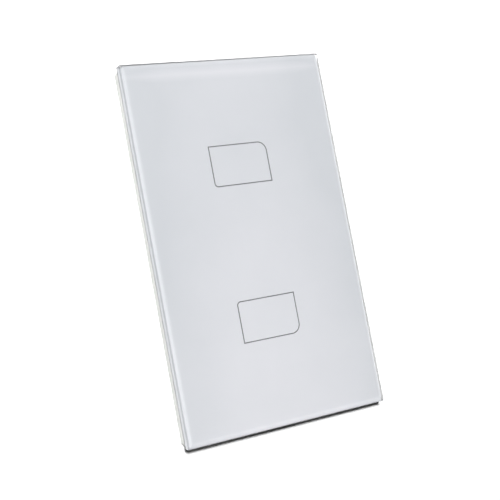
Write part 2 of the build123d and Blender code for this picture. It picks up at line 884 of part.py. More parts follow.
nodes = {
    "glass_plate": glass_plate(),
    "printed_backing": printed_backing(),
    "mark_window_upper": mark_window(1),
    "mark_window_lower": mark_window(-1),
    "bonding_tape": bonding_tape(),
    "panel_frame": panel_frame(),
    "base_frame": base_frame(),
    "mounting_yoke": mounting_yoke(),
    "leaf_springs": leaf_springs(),
    "rear_housing": rear_housing(),
    "case_screws": case_screws(),
    "touch_board": touch_board(),
    "contact_spring_upper": contact_spring(1),
    "contact_spring_lower": contact_spring(-1),
    "light_guide_upper": light_guide(1),
    "light_guide_lower": light_guide(-1),
    "indicator_lamps": lamps(),
    "touch_chip": touch_chip(),
    "board_socket": board_socket(),
    "board_header": board_header(),
    "power_board": power_board(),
    "relay_left": relay(-1),
    "relay_right": relay(1),
    "transformer_core": transformer_core(),
    "transformer_coil": transformer_coil(),
    "smoothing_capacitor": smoothing_capacitor(),
    "suppression_capacitor": suppression_capacitor(),
    "varistor": varistor(),
    "fuse": fuse(),
    "terminal_block": terminal_block(),
    "contact_bars": contact_bars(),
}
for number, x in enumerate(way_middles(), start=1):
    nodes[f"terminal_clamp_{number}"] = terminal_clamp(x)
    nodes[f"terminal_screw_{number}"] = terminal_screw(x)

os.makedirs("parts", exist_ok=True)
for name, solid in nodes.items():
    export_step(solid, f"parts/{name}.step")
print("sub-parts written:", len(nodes))
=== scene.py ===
# %% [markdown]
# # A glass touch switch for a wall box
#
# This lesson dresses a imported CAD model of a touch light switch. A glass plate with ground edges stands
# a few millimetres proud of the wall. White print on its back carries the outlines of two touch marks.
# Behind it are a plastic frame, a steel yoke and a housing with screw terminals.
#
# The imported model is loaded first. It is the frame that everything else has to fit.

import json
from math import asin, ceil, cos, pi, radians, sin, tau

import bmesh
import bpy
from mathutils import Matrix, Vector

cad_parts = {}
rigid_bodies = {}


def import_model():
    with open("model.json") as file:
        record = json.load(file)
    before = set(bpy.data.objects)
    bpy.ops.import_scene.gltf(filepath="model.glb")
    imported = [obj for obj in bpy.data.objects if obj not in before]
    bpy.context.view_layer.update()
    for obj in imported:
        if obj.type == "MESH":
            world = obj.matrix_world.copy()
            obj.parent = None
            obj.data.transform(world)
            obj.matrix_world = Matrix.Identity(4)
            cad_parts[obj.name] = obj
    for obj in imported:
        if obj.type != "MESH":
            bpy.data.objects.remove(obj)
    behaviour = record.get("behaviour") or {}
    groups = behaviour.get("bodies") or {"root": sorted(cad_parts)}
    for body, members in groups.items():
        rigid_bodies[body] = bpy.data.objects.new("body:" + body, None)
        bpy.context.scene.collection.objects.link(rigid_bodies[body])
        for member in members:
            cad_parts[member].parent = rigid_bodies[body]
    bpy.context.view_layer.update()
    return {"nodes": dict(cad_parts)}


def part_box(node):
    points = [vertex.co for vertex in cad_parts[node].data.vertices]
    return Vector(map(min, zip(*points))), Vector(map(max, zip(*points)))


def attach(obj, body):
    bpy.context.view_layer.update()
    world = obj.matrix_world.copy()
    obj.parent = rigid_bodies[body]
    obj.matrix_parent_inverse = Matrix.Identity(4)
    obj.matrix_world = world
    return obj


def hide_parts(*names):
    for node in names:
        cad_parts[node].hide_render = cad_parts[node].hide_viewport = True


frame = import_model()
nodes = frame["nodes"]
MM = 0.001

# %% [markdown]
# ## How the picture is taken
#
# The switch is seen from its left and a little from below, and the camera is rolled, so that the long
# sides lean. The four corners of the glass fix the camera: with the glass at its real size there is
# only one place, direction and lens that puts them where the photograph has them.
#
# The camera could be placed by hand until it looks right. It is built here from an azimuth, an
# elevation, a roll and a distance, because each of these can be read and changed by itself.

# %% The camera
VIEW_AZIMUTH = radians(26.706)
VIEW_ELEVATION = radians(3.081)
VIEW_ROLL = radians(-10.610)
VIEW_DISTANCE = 311.99 * MM
VIEW_POINT = Vector((-3.314, -8.0, -2.991)) * MM
LENS = 70.15
SENSOR = 36.0
NEAREST_SEEN = 10 * MM


def place_camera():
    """A camera that looks at a point on the glass from a given direction, rolled about its own axis."""
    ahead = Vector(
        (
            sin(VIEW_AZIMUTH) * cos(VIEW_ELEVATION),
            cos(VIEW_AZIMUTH) * cos(VIEW_ELEVATION),
            sin(VIEW_ELEVATION),
        )
    )
    data = bpy.data.cameras.new("camera")
    data.lens = LENS
    data.sensor_width = SENSOR
    data.clip_start = NEAREST_SEEN
    camera = bpy.data.objects.new("camera", data)
    level = ahead.to_track_quat("-Z", "Y").to_matrix().to_4x4()
    roll = Matrix.Rotation(VIEW_ROLL, 4, "Z")
    camera.matrix_world = Matrix.Translation(VIEW_POINT - ahead * VIEW_DISTANCE) @ level @ roll
    bpy.context.scene.collection.objects.link(camera)
    bpy.context.scene.camera = camera
    return camera


camera = place_camera()
print("camera stands at", tuple(round(value, 4) for value in camera.location))

# %% [markdown]
# ## Writing materials as short recipes
#
# Every finish below is a small graph of shader nodes. Clicking them together in the editor is quick for
# one material, but a script has two dozen of them. A graph object keeps the node tree, with short
# helpers that add a node, calculate with values and scale a pattern. A recipe is the graph of one
# material, and it can also blend colours, turn a pattern into a bump and let rays pass.
#
# All patterns use object coordinates in metres, so a scale of 2000 means details of half a millimetre.
# Most of a noise's values lie between 0.3 and 0.7, so that range is stretched wherever a noise has to
# use the whole way between two tones.

# %% Helpers for materials
NOISE_RANGE = (0.3, 0.7)


class Graph:
    """A tree of shader nodes, with shorthands for adding to it."""

    def __init__(self, tree):
        self.tree = tree

    def set(self, node, inputs):
        """Give a node's inputs their values, or link them where the value is another node's output."""
        for key, value in inputs.items():
            if isinstance(value, bpy.types.NodeSocket):
                self.tree.links.new(value, node.inputs[key])
            else:
                node.inputs[key].default_value = value

    def add(self, kind, inputs=None, **settings):
        node = self.tree.nodes.new(kind)
        for key, value in settings.items():
            setattr(node, key, value)
        self.set(node, inputs or {})
        return node

    def math(self, operation, *values, clamp=False):
        """Calculate with one to three values, each a number or another node's output."""
        inputs = dict(enumerate(values))
        return self.add("ShaderNodeMath", inputs, operation=operation, use_clamp=clamp).outputs[0]

    def span(self, value, low, high, start=0.0, end=1.0):
        """Map a pattern's values from start...end to low...high."""
        inputs = {"Value": value, "From Min": start, "From Max": end, "To Min": low, "To Max": high}
        return self.add("ShaderNodeMapRange", inputs).outputs["Result"]


class Recipe(Graph):
    """One material: its node tree, its Principled shader, and shorthands for its finish."""

    def __init__(self, name, colour, roughness, metallic=0.0):
        self.material = bpy.data.materials.new(name)
        self.material.use_nodes = True
        super().__init__(self.material.node_tree)
        self.shader = self.tree.nodes["Principled BSDF"]
        self.output = self.tree.nodes["Material Output"]
        inputs = {"Base Color": (*colour, 1.0), "Roughness": roughness, "Metallic": metallic}
        self.set(self.shader, inputs)
        self.place = self.add("ShaderNodeTexCoord").outputs["Object"]

    def stretched(self, stretch):
        """The surface's coordinates, scaled by a different amount along each axis."""
        inputs = {"Vector": self.place, "Scale": stretch}
        return self.add("ShaderNodeMapping", inputs).outputs["Vector"]

    def noise(self, scale, detail=3.0, roughness=0.5, stretch=None):
        place = self.stretched(stretch) if stretch else self.place
        inputs = {"Vector": place, "Scale": scale, "Detail": detail, "Roughness": roughness}
        return self.add("ShaderNodeTexNoise", inputs).outputs["Fac"]

    def cells(self, scale):
        inputs = {"Vector": self.place, "Scale": scale}
        return self.add("ShaderNodeTexVoronoi", inputs, feature="F1").outputs["Distance"]

    def blend(self, share, first, second):
        """A colour between two others, by a pattern."""
        node = self.add("ShaderNodeMix", data_type="RGBA")
        sockets = [socket for socket in node.inputs if socket.enabled]
        for socket, value in zip(sockets, (share, first, second)):
            if isinstance(value, bpy.types.NodeSocket):
                self.tree.links.new(value, socket)
            else:
                socket.default_value = (*value, 1.0)
        return next(socket for socket in node.outputs if socket.enabled)

    def colour(self, pattern, first, second, spread=None):
        """Colour the surface by a pattern, or by the part of its values that spread gives."""
        share = self.span(pattern, 0.0, 1.0, *spread) if spread else pattern
        self.set(self.shader, {"Base Color": self.blend(share, first, second)})

    def bump(self, height, distance, strength=1.0):
        """Raise the surface by a pattern, by a distance in metres."""
        inputs = {"Height": height, "Distance": distance, "Strength": strength}
        self.set(self.shader, {"Normal": self.add("ShaderNodeBump", inputs).outputs["Normal"]})

    def let_pass(self, share, surface, tint=(1.0, 1.0, 1.0)):
        """Let a share of the rays go straight through the surface."""
        clear = self.add("ShaderNodeBsdfTransparent", {"Color": (*tint, 1.0)}).outputs[0]
        mix = self.add("ShaderNodeMixShader", {0: share, 1: surface, 2: clear})
        self.set(self.output, {"Surface": mix.outputs[0]})


def dress(material, *names):
    """Give CAD nodes a material, in the slots that they already have."""
    for name in names:
        for slot in nodes[name].material_slots:
            slot.material = material


# %% [markdown]
# ## The glass
#
# The plate is clear, almost colourless float glass, 3 mm thick and polished. Light passes through it to
# the print and back, and its ground edges bend that light into bright and dark lines. The ridge where
# the ground edge meets the side is left rougher, and the glass is tinted dark there as painted shade, a
# dark line along the edge. Very faint wipe marks vary the gloss of the whole plate.
#
# A glossy white plastic would be cheaper to render, but its edges would stay flat. So this is real glass
# with full transmission. Bent rays hardly ever find a lamp by themselves, so rays from lamps go straight
# through the face and the ground edges, but not through the sides and the back, and the plate still
# throws its shadow. Rays that a matt surface sends out go straight through all of it. That keeps the
# print evenly lit and free of grain.

# %% Glass
GLASS_TINT = (0.985, 0.992, 0.99)
CLEAR_TINT = (0.975, 0.98, 0.98)
# The ridge's dark tint is painted shade.
RIDGE_PAINTED_SHADE = (0.36, 0.37, 0.39)
GLASS_INDEX = 1.52
RIDGE_DEPTH = -7.3 * MM
RIDGE_REACH = 0.32 * MM
RIDGE_ROUGHNESS = 0.35
WIPE_SCALE = 90.0
WIPE_STRETCH = (1.0, 1.0, 0.35)
WIPE_ROUGHNESS = 0.035
WIPE_RANGE = (0.45, 0.8)


def let_light_through(recipe, lamp_share, tint):
    """Pass rays from matt surfaces straight through, and a share of the rays from lamps."""
    path = recipe.add("ShaderNodeLightPath").outputs
    lamp_rays = recipe.math("MULTIPLY", path["Is Shadow Ray"], lamp_share)
    passed = recipe.math("MAXIMUM", lamp_rays, path["Is Diffuse Ray"])
    recipe.let_pass(passed, recipe.shader.outputs[0], tint)


def make_glass():
    recipe = Recipe("float_glass", GLASS_TINT, 0.0)
    depth = recipe.add("ShaderNodeSeparateXYZ", {0: recipe.place}).outputs["Y"]
    off_ridge = recipe.math("ABSOLUTE", recipe.math("SUBTRACT", depth, RIDGE_DEPTH))
    ridge = recipe.span(off_ridge, 1.0, 0.0, 0.0, RIDGE_REACH)
    wipes = recipe.noise(WIPE_SCALE, detail=4.0, stretch=WIPE_STRETCH)
    wiped = recipe.span(wipes, 0.0, WIPE_ROUGHNESS, *WIPE_RANGE)
    ground = recipe.math("MULTIPLY", ridge, RIDGE_ROUGHNESS)
    finish = {
        "Transmission Weight": 1.0,
        "IOR": GLASS_INDEX,
        "Roughness": recipe.math("MAXIMUM", wiped, ground),
    }
    recipe.set(recipe.shader, finish)
    # Painted shade: the glass is tinted dark along the ridge, which draws a dark line at the edge.
    recipe.colour(ridge, GLASS_TINT, RIDGE_PAINTED_SHADE)
    front = recipe.math("LESS_THAN", depth, RIDGE_DEPTH)
    let_light_through(recipe, front, CLEAR_TINT)
    return recipe.material


glass = make_glass()
print("glass refracts at", GLASS_INDEX)

# %% [markdown]
# ## The print behind the glass
#
# The back of the glass is screen-printed in a cool white, several coats thick. It takes its gloss from
# the glass, so the ink itself is matt. The white is painted lighter in the middle and towards the lower
# end, and darker towards the sides and the top, as painted light and shade. A painted highlight runs as
# a light band close to the upper edge.
#
# One flat white would be simpler, but a large face of it looks like paper. The white is therefore a
# blend of two tones, by place as painted light and shade and by slow clouds, with the fine grain that a
# printing screen leaves. The outlines of the marks are a thin grey ink that lets the lamps' light out.
# They are narrow, so theirs is a blend by grain alone.

# %% White and grey ink
# The two tones of the white are painted light and painted shade.
INK_PAINTED_LIGHT = (0.812, 0.815, 0.857)
INK_PAINTED_SHADE = (0.685, 0.704, 0.742)
MARK_GREY = (0.105, 0.11, 0.115)
MARK_SHADE = (0.14, 0.145, 0.15)
# The print is painted darker towards the sides, lighter towards the lower end, and with a highlight band
# near the upper edge.
HALF_WIDTH = 36 * MM
PAINTED_SIDE_SHADE = -0.8
PAINTED_LIGHT_TOP = 40 * MM
PAINTED_LIGHT_BOTTOM = -40 * MM
PAINTED_LIGHT_RANGE = (0.4, 1.0)
CLOUD_SCALE = 45.0
CLOUD_COAT = (-0.12, 0.12)
PAINTED_BAND_HEIGHT = 56.2 * MM
PAINTED_BAND_HALF = 2.4 * MM
PAINTED_BAND_LIGHT = 0.6
SCREEN_SCALE = 9000.0
SCREEN_HEIGHT = 0.002 * MM


def clouds_and_painted_light(recipe):
    """0 where the white is darkest and 1 where it is lightest, by painted light and shade and by slow
    clouds.
    """
    place = recipe.add("ShaderNodeSeparateXYZ", {0: recipe.place}).outputs
    across = recipe.math("MULTIPLY", place["X"], 1 / HALF_WIDTH)
    # Painted shade: darker towards the left and right sides.
    side_shade_mask = recipe.math("MULTIPLY", across, across)
    # Painted light: lighter towards the lower end.
    painted_lighter_below = recipe.span(place["Z"], *PAINTED_LIGHT_RANGE, PAINTED_LIGHT_TOP, PAINTED_LIGHT_BOTTOM)
    clouds = recipe.span(recipe.noise(CLOUD_SCALE), *CLOUD_COAT, *NOISE_RANGE)
    # A painted highlight: a light band close to the upper edge.
    off_band = recipe.math("ABSOLUTE", recipe.math("SUBTRACT", place["Z"], PAINTED_BAND_HEIGHT))
    painted_band = recipe.span(off_band, PAINTED_BAND_LIGHT, 0.0, 0.0, PAINTED_BAND_HALF)
    # The painted light and shade are added to the slow clouds, which vary the tone at random.
    coat = recipe.math("ADD", recipe.math("ADD", painted_lighter_below, clouds), painted_band)
    return recipe.math("MULTIPLY_ADD", side_shade_mask, PAINTED_SIDE_SHADE, coat, clamp=True)


def make_ink(name, first, second, roughness, by_place):
    recipe = Recipe(name, first, roughness)
    grain = recipe.noise(SCREEN_SCALE, detail=1.0)
    recipe.colour(clouds_and_painted_light(recipe) if by_place else grain, first, second)
    recipe.bump(grain, SCREEN_HEIGHT)
    return recipe.material


# The white ink is blended by place between painted shade and painted light.
white_ink = make_ink("white_ink", INK_PAINTED_SHADE, INK_PAINTED_LIGHT, roughness=0.6, by_place=True)
grey_ink = make_ink("grey_ink", MARK_GREY, MARK_SHADE, roughness=0.5, by_place=False)
dress(white_ink, "printed_backing")
dress(grey_ink, "mark_window_upper", "mark_window_lower")
print("inks on the print:", white_ink.name, grey_ink.name)

# %% [markdown]
# ## The plastics
#
# The frame behind the glass and the base frame on the wall are moulded in white, with the fine spark
# texture of their mould. The housing in the wall box is the same plastic in a coarser, greyer grade.
#
# A flat colour with one roughness would do from afar, but close by it looks like paint. One function
# makes all the plastics. Cells and a fine noise give the spark texture, which is one or two hundredths
# of a millimetre high and so shows only as a soft sheen. A slow noise shifts the tone, as the flow of
# the plastic does.

# %% Moulded plastics
FINE_SPARK = (1600.0, 0.012 * MM)
COARSE_SPARK = (1100.0, 0.02 * MM)
SPARK_STRENGTH = 0.6
FINER = 2.5
FLOW_SCALE = 22.0
FLOW_RANGE = (0.35, 0.65)
SMOOTHER = 0.06
ROUGHER = 0.08
PLASTICS = (
    ("white_plastic", (0.755, 0.77, 0.745), (0.725, 0.74, 0.715), 0.42, FINE_SPARK),
    ("housing_plastic", (0.66, 0.665, 0.66), (0.62, 0.625, 0.625), 0.52, COARSE_SPARK),
    ("block_plastic", (0.045, 0.075, 0.062), (0.035, 0.062, 0.05), 0.4, FINE_SPARK),
    ("black_resin", (0.018, 0.018, 0.02), (0.026, 0.026, 0.028), 0.5, FINE_SPARK),
    ("fuse_case", (0.05, 0.05, 0.052), (0.035, 0.035, 0.037), 0.38, FINE_SPARK),
    ("pin_header", (0.03, 0.03, 0.032), (0.022, 0.022, 0.024), 0.45, FINE_SPARK),
    ("relay_case", (0.025, 0.10, 0.30), (0.02, 0.08, 0.26), 0.32, FINE_SPARK),
    ("suppressor_case", (0.62, 0.42, 0.05), (0.56, 0.37, 0.04), 0.34, FINE_SPARK),
)
MOULDED_PARTS = {
    "white_plastic": ("panel_frame", "base_frame"),
    "housing_plastic": ("rear_housing",),
    "block_plastic": ("terminal_block",),
    "black_resin": ("touch_chip", "board_socket"),
    "fuse_case": ("fuse",),
    "pin_header": ("board_header",),
    "relay_case": ("relay_left", "relay_right"),
    "suppressor_case": ("suppression_capacitor",),
}


def make_plastic(name, light, shade, roughness, spark):
    recipe = Recipe(name, light, roughness)
    spark_scale, spark_height = spark
    flow = recipe.noise(FLOW_SCALE)
    cells = recipe.cells(spark_scale)
    fine = recipe.noise(spark_scale * FINER, detail=2.0)
    recipe.colour(flow, light, shade, FLOW_RANGE)
    sheen = recipe.span(fine, roughness - SMOOTHER, roughness + ROUGHER, *NOISE_RANGE)
    recipe.set(recipe.shader, {"Roughness": sheen})
    recipe.bump(recipe.math("ADD", cells, fine), spark_height, SPARK_STRENGTH)
    return recipe.material


for name, light, shade, roughness, spark in PLASTICS:
    dress(make_plastic(name, light, shade, roughness, spark), *MOULDED_PARTS[name])
print("plastics:", len(PLASTICS))

# %% [markdown]
# ## The metals
#
# The yoke is zinc-plated sheet steel, with the faint streaks of the rolling mill. The screws and springs
# are brighter. The contact bars and cages are brass.
#
# A brushed finish could be had from an anisotropic shader, but rolled sheet is only faintly streaked.
# So the streaks are a noise stretched along one axis. It drives the roughness and a very low bump,
# because on real metal the streaks change the gloss more than the colour. Turned screws have no such
# direction, and theirs is an even, fine noise. A slower noise stains the colour a little.

# %% Plated steel and brass
ROLLED = ((30.0, 30.0, 1.0), 60.0)
TURNED = ((1.0, 1.0, 1.0), 900.0)
STAIN_SCALE = 120.0
BRIGHTER = 0.08
DULLER = 0.1
STREAK_HEIGHT = 0.004 * MM
STREAK_STRENGTH = 0.5
TERMINAL_SCREWS = [f"terminal_screw_{number}" for number in range(1, 5)]
TERMINAL_CLAMPS = [f"terminal_clamp_{number}" for number in range(1, 5)]
METALS = (
    ("plated_steel", (0.62, 0.63, 0.64), (0.55, 0.56, 0.575), 0.36, ROLLED),
    ("spring_steel", (0.68, 0.68, 0.67), (0.60, 0.60, 0.59), 0.26, ROLLED),
    ("screw_steel", (0.66, 0.66, 0.65), (0.57, 0.57, 0.56), 0.24, TURNED),
    ("brass", (0.75, 0.57, 0.26), (0.66, 0.47, 0.19), 0.28, ROLLED),
)
METAL_PARTS = {
    "plated_steel": ("mounting_yoke",),
    "spring_steel": ("leaf_springs", "contact_spring_upper", "contact_spring_lower"),
    "screw_steel": ("case_screws", *TERMINAL_SCREWS),
    "brass": ("contact_bars", *TERMINAL_CLAMPS),
}


def make_metal(name, light, shade, roughness, working):
    recipe = Recipe(name, light, roughness, metallic=1.0)
    stretch, scale = working
    streaks = recipe.noise(scale, detail=5.0, roughness=0.65, stretch=stretch)
    recipe.colour(recipe.noise(STAIN_SCALE), light, shade, NOISE_RANGE)
    gloss = recipe.span(streaks, roughness - BRIGHTER, roughness + DULLER, *NOISE_RANGE)
    recipe.set(recipe.shader, {"Roughness": gloss})
    recipe.bump(streaks, STREAK_HEIGHT, STREAK_STRENGTH)
    return recipe.material


for name, light, shade, roughness, working in METALS:
    dress(make_metal(name, light, shade, roughness, working), *METAL_PARTS[name])
print("metals:", len(METALS))

# %% [markdown]
# ## The parts inside
#
# Foam tape, circuit boards, a ferrite core with its taped winding, a sleeved capacitor, a dipped surge
# absorber and the clear light guides. Little of them shows, but the panel lifts off and the terminals
# are open.
#
# The plastics' recipe in other colours would serve for most of them. But foam has pores, a board has
# tracks under its lacquer, a wound film has turns and a dipped coat has orange peel, and these tell the
# parts apart. So each has a recipe with the pattern of its own making.

# %% Foam, boards and ferrite
PORE_SCALE = 5200.0
PORE_RANGE = (0.1, 0.6)
PORE_DEPTH = 0.03 * MM
TRACK_PATTERN = {"Scale": 260.0, "Mortar Size": 0.035, "Brick Width": 0.9, "Row Height": 0.32}
TRACK_HEIGHT = 0.035 * MM
LACQUER_SCALE = 700.0
FERRITE_SCALE = 4000.0
FERRITE_GRAIN = 0.01 * MM


def make_foam():
    recipe = Recipe("foam_tape", (0.78, 0.78, 0.77), 0.85)
    pores = recipe.cells(PORE_SCALE)
    recipe.colour(pores, (0.70, 0.70, 0.69), (0.80, 0.80, 0.79), PORE_RANGE)
    recipe.bump(pores, PORE_DEPTH)
    return recipe.material


def make_board():
    """Green lacquer over copper tracks, which show as slightly lighter, raised lines."""
    recipe = Recipe("circuit_board", (0.012, 0.12, 0.05), 0.32)
    turned = {"Vector": recipe.place, "Rotation": (pi / 2, 0.0, 0.0)}
    flat = recipe.add("ShaderNodeMapping", turned).outputs["Vector"]
    tracks = recipe.add("ShaderNodeTexBrick", {"Vector": flat, **TRACK_PATTERN}).outputs["Fac"]
    lacquer = recipe.span(recipe.noise(LACQUER_SCALE, detail=2.0), 0.0, 1.0, *NOISE_RANGE)
    between = recipe.blend(lacquer, (0.010, 0.105, 0.045), (0.014, 0.13, 0.055))
    recipe.colour(tracks, between, (0.03, 0.20, 0.09))
    recipe.bump(tracks, TRACK_HEIGHT)
    return recipe.material


def make_ferrite():
    recipe = Recipe("ferrite", (0.05, 0.05, 0.055), 0.6)
    grain = recipe.noise(FERRITE_SCALE, detail=4.0)
    recipe.colour(grain, (0.035, 0.035, 0.04), (0.07, 0.07, 0.075), NOISE_RANGE)
    recipe.bump(grain, FERRITE_GRAIN)
    return recipe.material


dress(make_foam(), "bonding_tape")
dress(make_board(), "touch_board", "power_board")
dress(make_ferrite(), "transformer_core")
print("tracks stand out by", round(TRACK_HEIGHT / MM, 3), "mm")

# %% Films, dips and clear parts
TURN_HEIGHT = 0.015 * MM
PEEL_SCALE = 900.0
PEEL_HEIGHT = 0.03 * MM
GUIDE_TINT = (0.93, 0.95, 0.96)
GUIDE_INDEX = 1.49
GUIDE_ROUGHNESS = (0.22, 0.42)
FROST_SCALE = 2600.0
FROST_HEIGHT = 0.01 * MM
RESIN_SCALE = 5000.0
RESIN_HEIGHT = 0.006 * MM


def make_film(name, light, shade, roughness, turns_scale):
    """A thin film wound round a part, with the fine steps of its turns."""
    recipe = Recipe(name, light, roughness)
    inputs = {"Vector": recipe.place, "Scale": turns_scale, "Distortion": 1.2, "Detail": 2.0}
    turns = recipe.add("ShaderNodeTexWave", inputs, bands_direction="Y").outputs["Fac"]
    recipe.colour(turns, light, shade)
    recipe.bump(turns, TURN_HEIGHT)
    return recipe.material


def make_dip():
    """Dipped epoxy: thick and glossy, with the orange-peel of a coat that dried by itself."""
    recipe = Recipe("varistor_dip", (0.03, 0.13, 0.38), 0.2)
    peel = recipe.noise(PEEL_SCALE, detail=2.0)
    recipe.colour(peel, (0.025, 0.11, 0.34), (0.035, 0.15, 0.42), NOISE_RANGE)
    recipe.set(recipe.shader, {"Coat Weight": 0.5})
    recipe.bump(peel, PEEL_HEIGHT)
    return recipe.material


def make_light_guide():
    """Frosted clear plastic. Rays from lamps and matt surfaces go straight through it."""
    recipe = Recipe("clear_plastic", GUIDE_TINT, 0.3)
    frost = recipe.noise(FROST_SCALE)
    finish = {
        "Transmission Weight": 0.75,
        "IOR": GUIDE_INDEX,
        "Roughness": recipe.span(frost, *GUIDE_ROUGHNESS, *NOISE_RANGE),
    }
    recipe.set(recipe.shader, finish)
    recipe.bump(frost, FROST_HEIGHT)
    let_light_through(recipe, 1.0, GUIDE_TINT)
    return recipe.material


def make_lamp_resin():
    """A lamp body in a yellowish resin, its tone varied by a fine grain."""
    recipe = Recipe("lamp_resin", (0.80, 0.78, 0.68), 0.35)
    grain = recipe.noise(RESIN_SCALE, detail=2.0)
    recipe.colour(grain, (0.78, 0.70, 0.36), (0.84, 0.78, 0.48), NOISE_RANGE)
    recipe.bump(grain, RESIN_HEIGHT)
    return recipe.material


coil_tape = make_film("coil_tape", (0.72, 0.52, 0.06), (0.62, 0.43, 0.04), 0.3, 220.0)
sleeve = make_film("capacitor_sleeve", (0.02, 0.024, 0.04), (0.028, 0.033, 0.055), 0.28, 500.0)
dress(coil_tape, "transformer_coil")
dress(sleeve, "smoothing_capacitor")
dress(make_dip(), "varistor")
dress(make_light_guide(), "light_guide_upper", "light_guide_lower")
dress(make_lamp_resin(), "indicator_lamps")
print("materials in all:", len(bpy.data.materials))

# %% [markdown]
# ## The glass plate
#
# The real plate is cut, then its four front edges are ground to an arc and polished. The arc starts
# tangent to the face and meets the side at an angle, and the rear edge gets a narrow arris.
#
# A box with a bevel modifier would come close, but its bevel is a quarter circle. Here the plate is
# built ring by ring instead: each ring is the plate's outline, drawn in by some inset at some depth,
# and the list of insets and depths is the profile that the grinder leaves. One more ring inside the arc
# keeps the large face flat when its corners are shaded smooth.

# %% Rings of a rounded rectangle
CORNERS = ((1, 1), (-1, 1), (-1, -1), (1, -1))
CORNER_STEPS = 4
SMOOTH_BELOW = radians(28)


def ring_points(half_width, half_height, radius):
    """A rounded rectangle's points, anticlockwise as seen from the room, as (x, z)."""
    points = []
    for quarter, (side, end) in enumerate(CORNERS):
        centre_x = side * (half_width - radius)
        centre_z = end * (half_height - radius)
        for step in range(CORNER_STEPS + 1):
            angle = pi / 2 * (quarter + step / CORNER_STEPS)
            points.append((centre_x + radius * cos(angle), centre_z + radius * sin(angle)))
    return points


def finished(name, mesh, smooth_below=SMOOTH_BELOW):
    """Turn a bmesh into an object of the scene, shaded smooth except across its sharp edges."""
    for face in mesh.faces:
        face.smooth = True
    for edge in mesh.edges:
        edge.smooth = not edge.is_manifold or edge.calc_face_angle(0.0) < smooth_below
    data = bpy.data.meshes.new(name)
    mesh.to_mesh(data)
    mesh.free()
    piece = bpy.data.objects.new(name, data)
    bpy.context.scene.collection.objects.link(piece)
    return piece


def ring_solid(name, rings):
    """A closed mesh through a list of rings, front to back, each (x, z) points and a depth y."""
    mesh = bmesh.new()
    loops = [[mesh.verts.new((x, depth, z)) for x, z in points] for points, depth in rings]
    for near, far in zip(loops, loops[1:]):
        for index, corner in enumerate(near):
            after = (index + 1) % len(near)
            mesh.faces.new((corner, near[after], far[after], far[index]))
    mesh.faces.new(loops[0][::-1])
    mesh.faces.new(loops[-1])
    bmesh.ops.recalc_face_normals(mesh, faces=mesh.faces)
    return finished(name, mesh)


print("points in a ring:", len(CORNERS) * (CORNER_STEPS + 1))

# %% The plate with ground edges
ARC_WIDTH = 2.0 * MM
ARC_DROP = 0.7 * MM
ARC_STEPS = 20
FLAT_RING = 1.0 * MM
ARRIS = 0.2 * MM
RIDGE_SOFTNESS = 0.05 * MM
RIDGE_SLOPE = 1.6 * ARC_DROP / ARC_WIDTH
CORNER_RADIUS = 0.3 * MM
MITRE_RADIUS = 0.04 * MM
INK_OVERLAP = 0.01 * MM


def ground_profile(front, back):
    """The plate's edge as (inset, depth) pairs, from the face to the back."""
    radius = (ARC_WIDTH**2 + ARC_DROP**2) / (2 * ARC_DROP)
    sweep = asin(ARC_WIDTH / radius)
    profile = [(ARC_WIDTH + FLAT_RING, front)]
    for step in range(ARC_STEPS):
        angle = sweep * step / ARC_STEPS
        profile.append((ARC_WIDTH - radius * sin(angle), front + radius * (1 - cos(angle))))
    ridge = front + ARC_DROP
    profile.append((RIDGE_SOFTNESS, ridge - RIDGE_SOFTNESS * RIDGE_SLOPE))
    profile.append((0.0, ridge + RIDGE_SOFTNESS))
    profile.append((0.0, back - ARRIS))
    profile.append((ARRIS, back))
    return profile


def make_plate():
    low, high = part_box("glass_plate")
    rings = []
    for inset, depth in ground_profile(low.y, high.y + INK_OVERLAP):
        radius = max(MITRE_RADIUS, CORNER_RADIUS * (1 - inset / ARC_WIDTH))
        rings.append((ring_points(high.x - inset, high.z - inset, radius), depth))
    plate = ring_solid("glass_pane", rings)
    plate.data.materials.append(glass)
    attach(plate, "front_panel")
    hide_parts("glass_plate")
    return plate


plate = make_plate()
print("glass plate:", len(plate.data.polygons), "faces")

# %% [markdown]
# ## Softened edges
#
# A imported CAD solid has perfectly sharp edges. No mould or press makes such edges: moulded plastic comes
# out with a rounding of a fifth of a millimetre, sheet steel with less, and a turned screw with a trace.
#
# These roundings catch a thin line of light, and the eye reads them as size and material. Drawing them
# in the CAD model would make its solids heavy for every use, so they are made here, for looks alone.
# Each listed solid is copied, its triangles are joined back into flat faces, and a bevel rounds every
# edge that is sharper than a given angle. The copy then stands in for the CAD node on the same body.

# %% Round the edges of moulded and stamped parts
EASED_EDGES = {
    "panel_frame": 0.2 * MM,
    "base_frame": 0.2 * MM,
    "mounting_yoke": 0.12 * MM,
    "rear_housing": 0.2 * MM,
    "terminal_block": 0.12 * MM,
    "light_guide_upper": 0.2 * MM,
    "light_guide_lower": 0.2 * MM,
    "contact_bars": 0.08 * MM,
    "case_screws": 0.06 * MM,
    **dict.fromkeys(TERMINAL_CLAMPS, 0.1 * MM),
}
SHARP = radians(35)
FLAT = radians(1)
SAME_PLACE = 0.001 * MM
BEVEL_STEPS = 2


def stand_in(piece, node):
    """Let a piece take a CAD node's place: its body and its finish."""
    piece.data.materials.append(nodes[node].material_slots[0].material)
    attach(piece, nodes[node].parent.name.removeprefix("body:"))
    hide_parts(node)


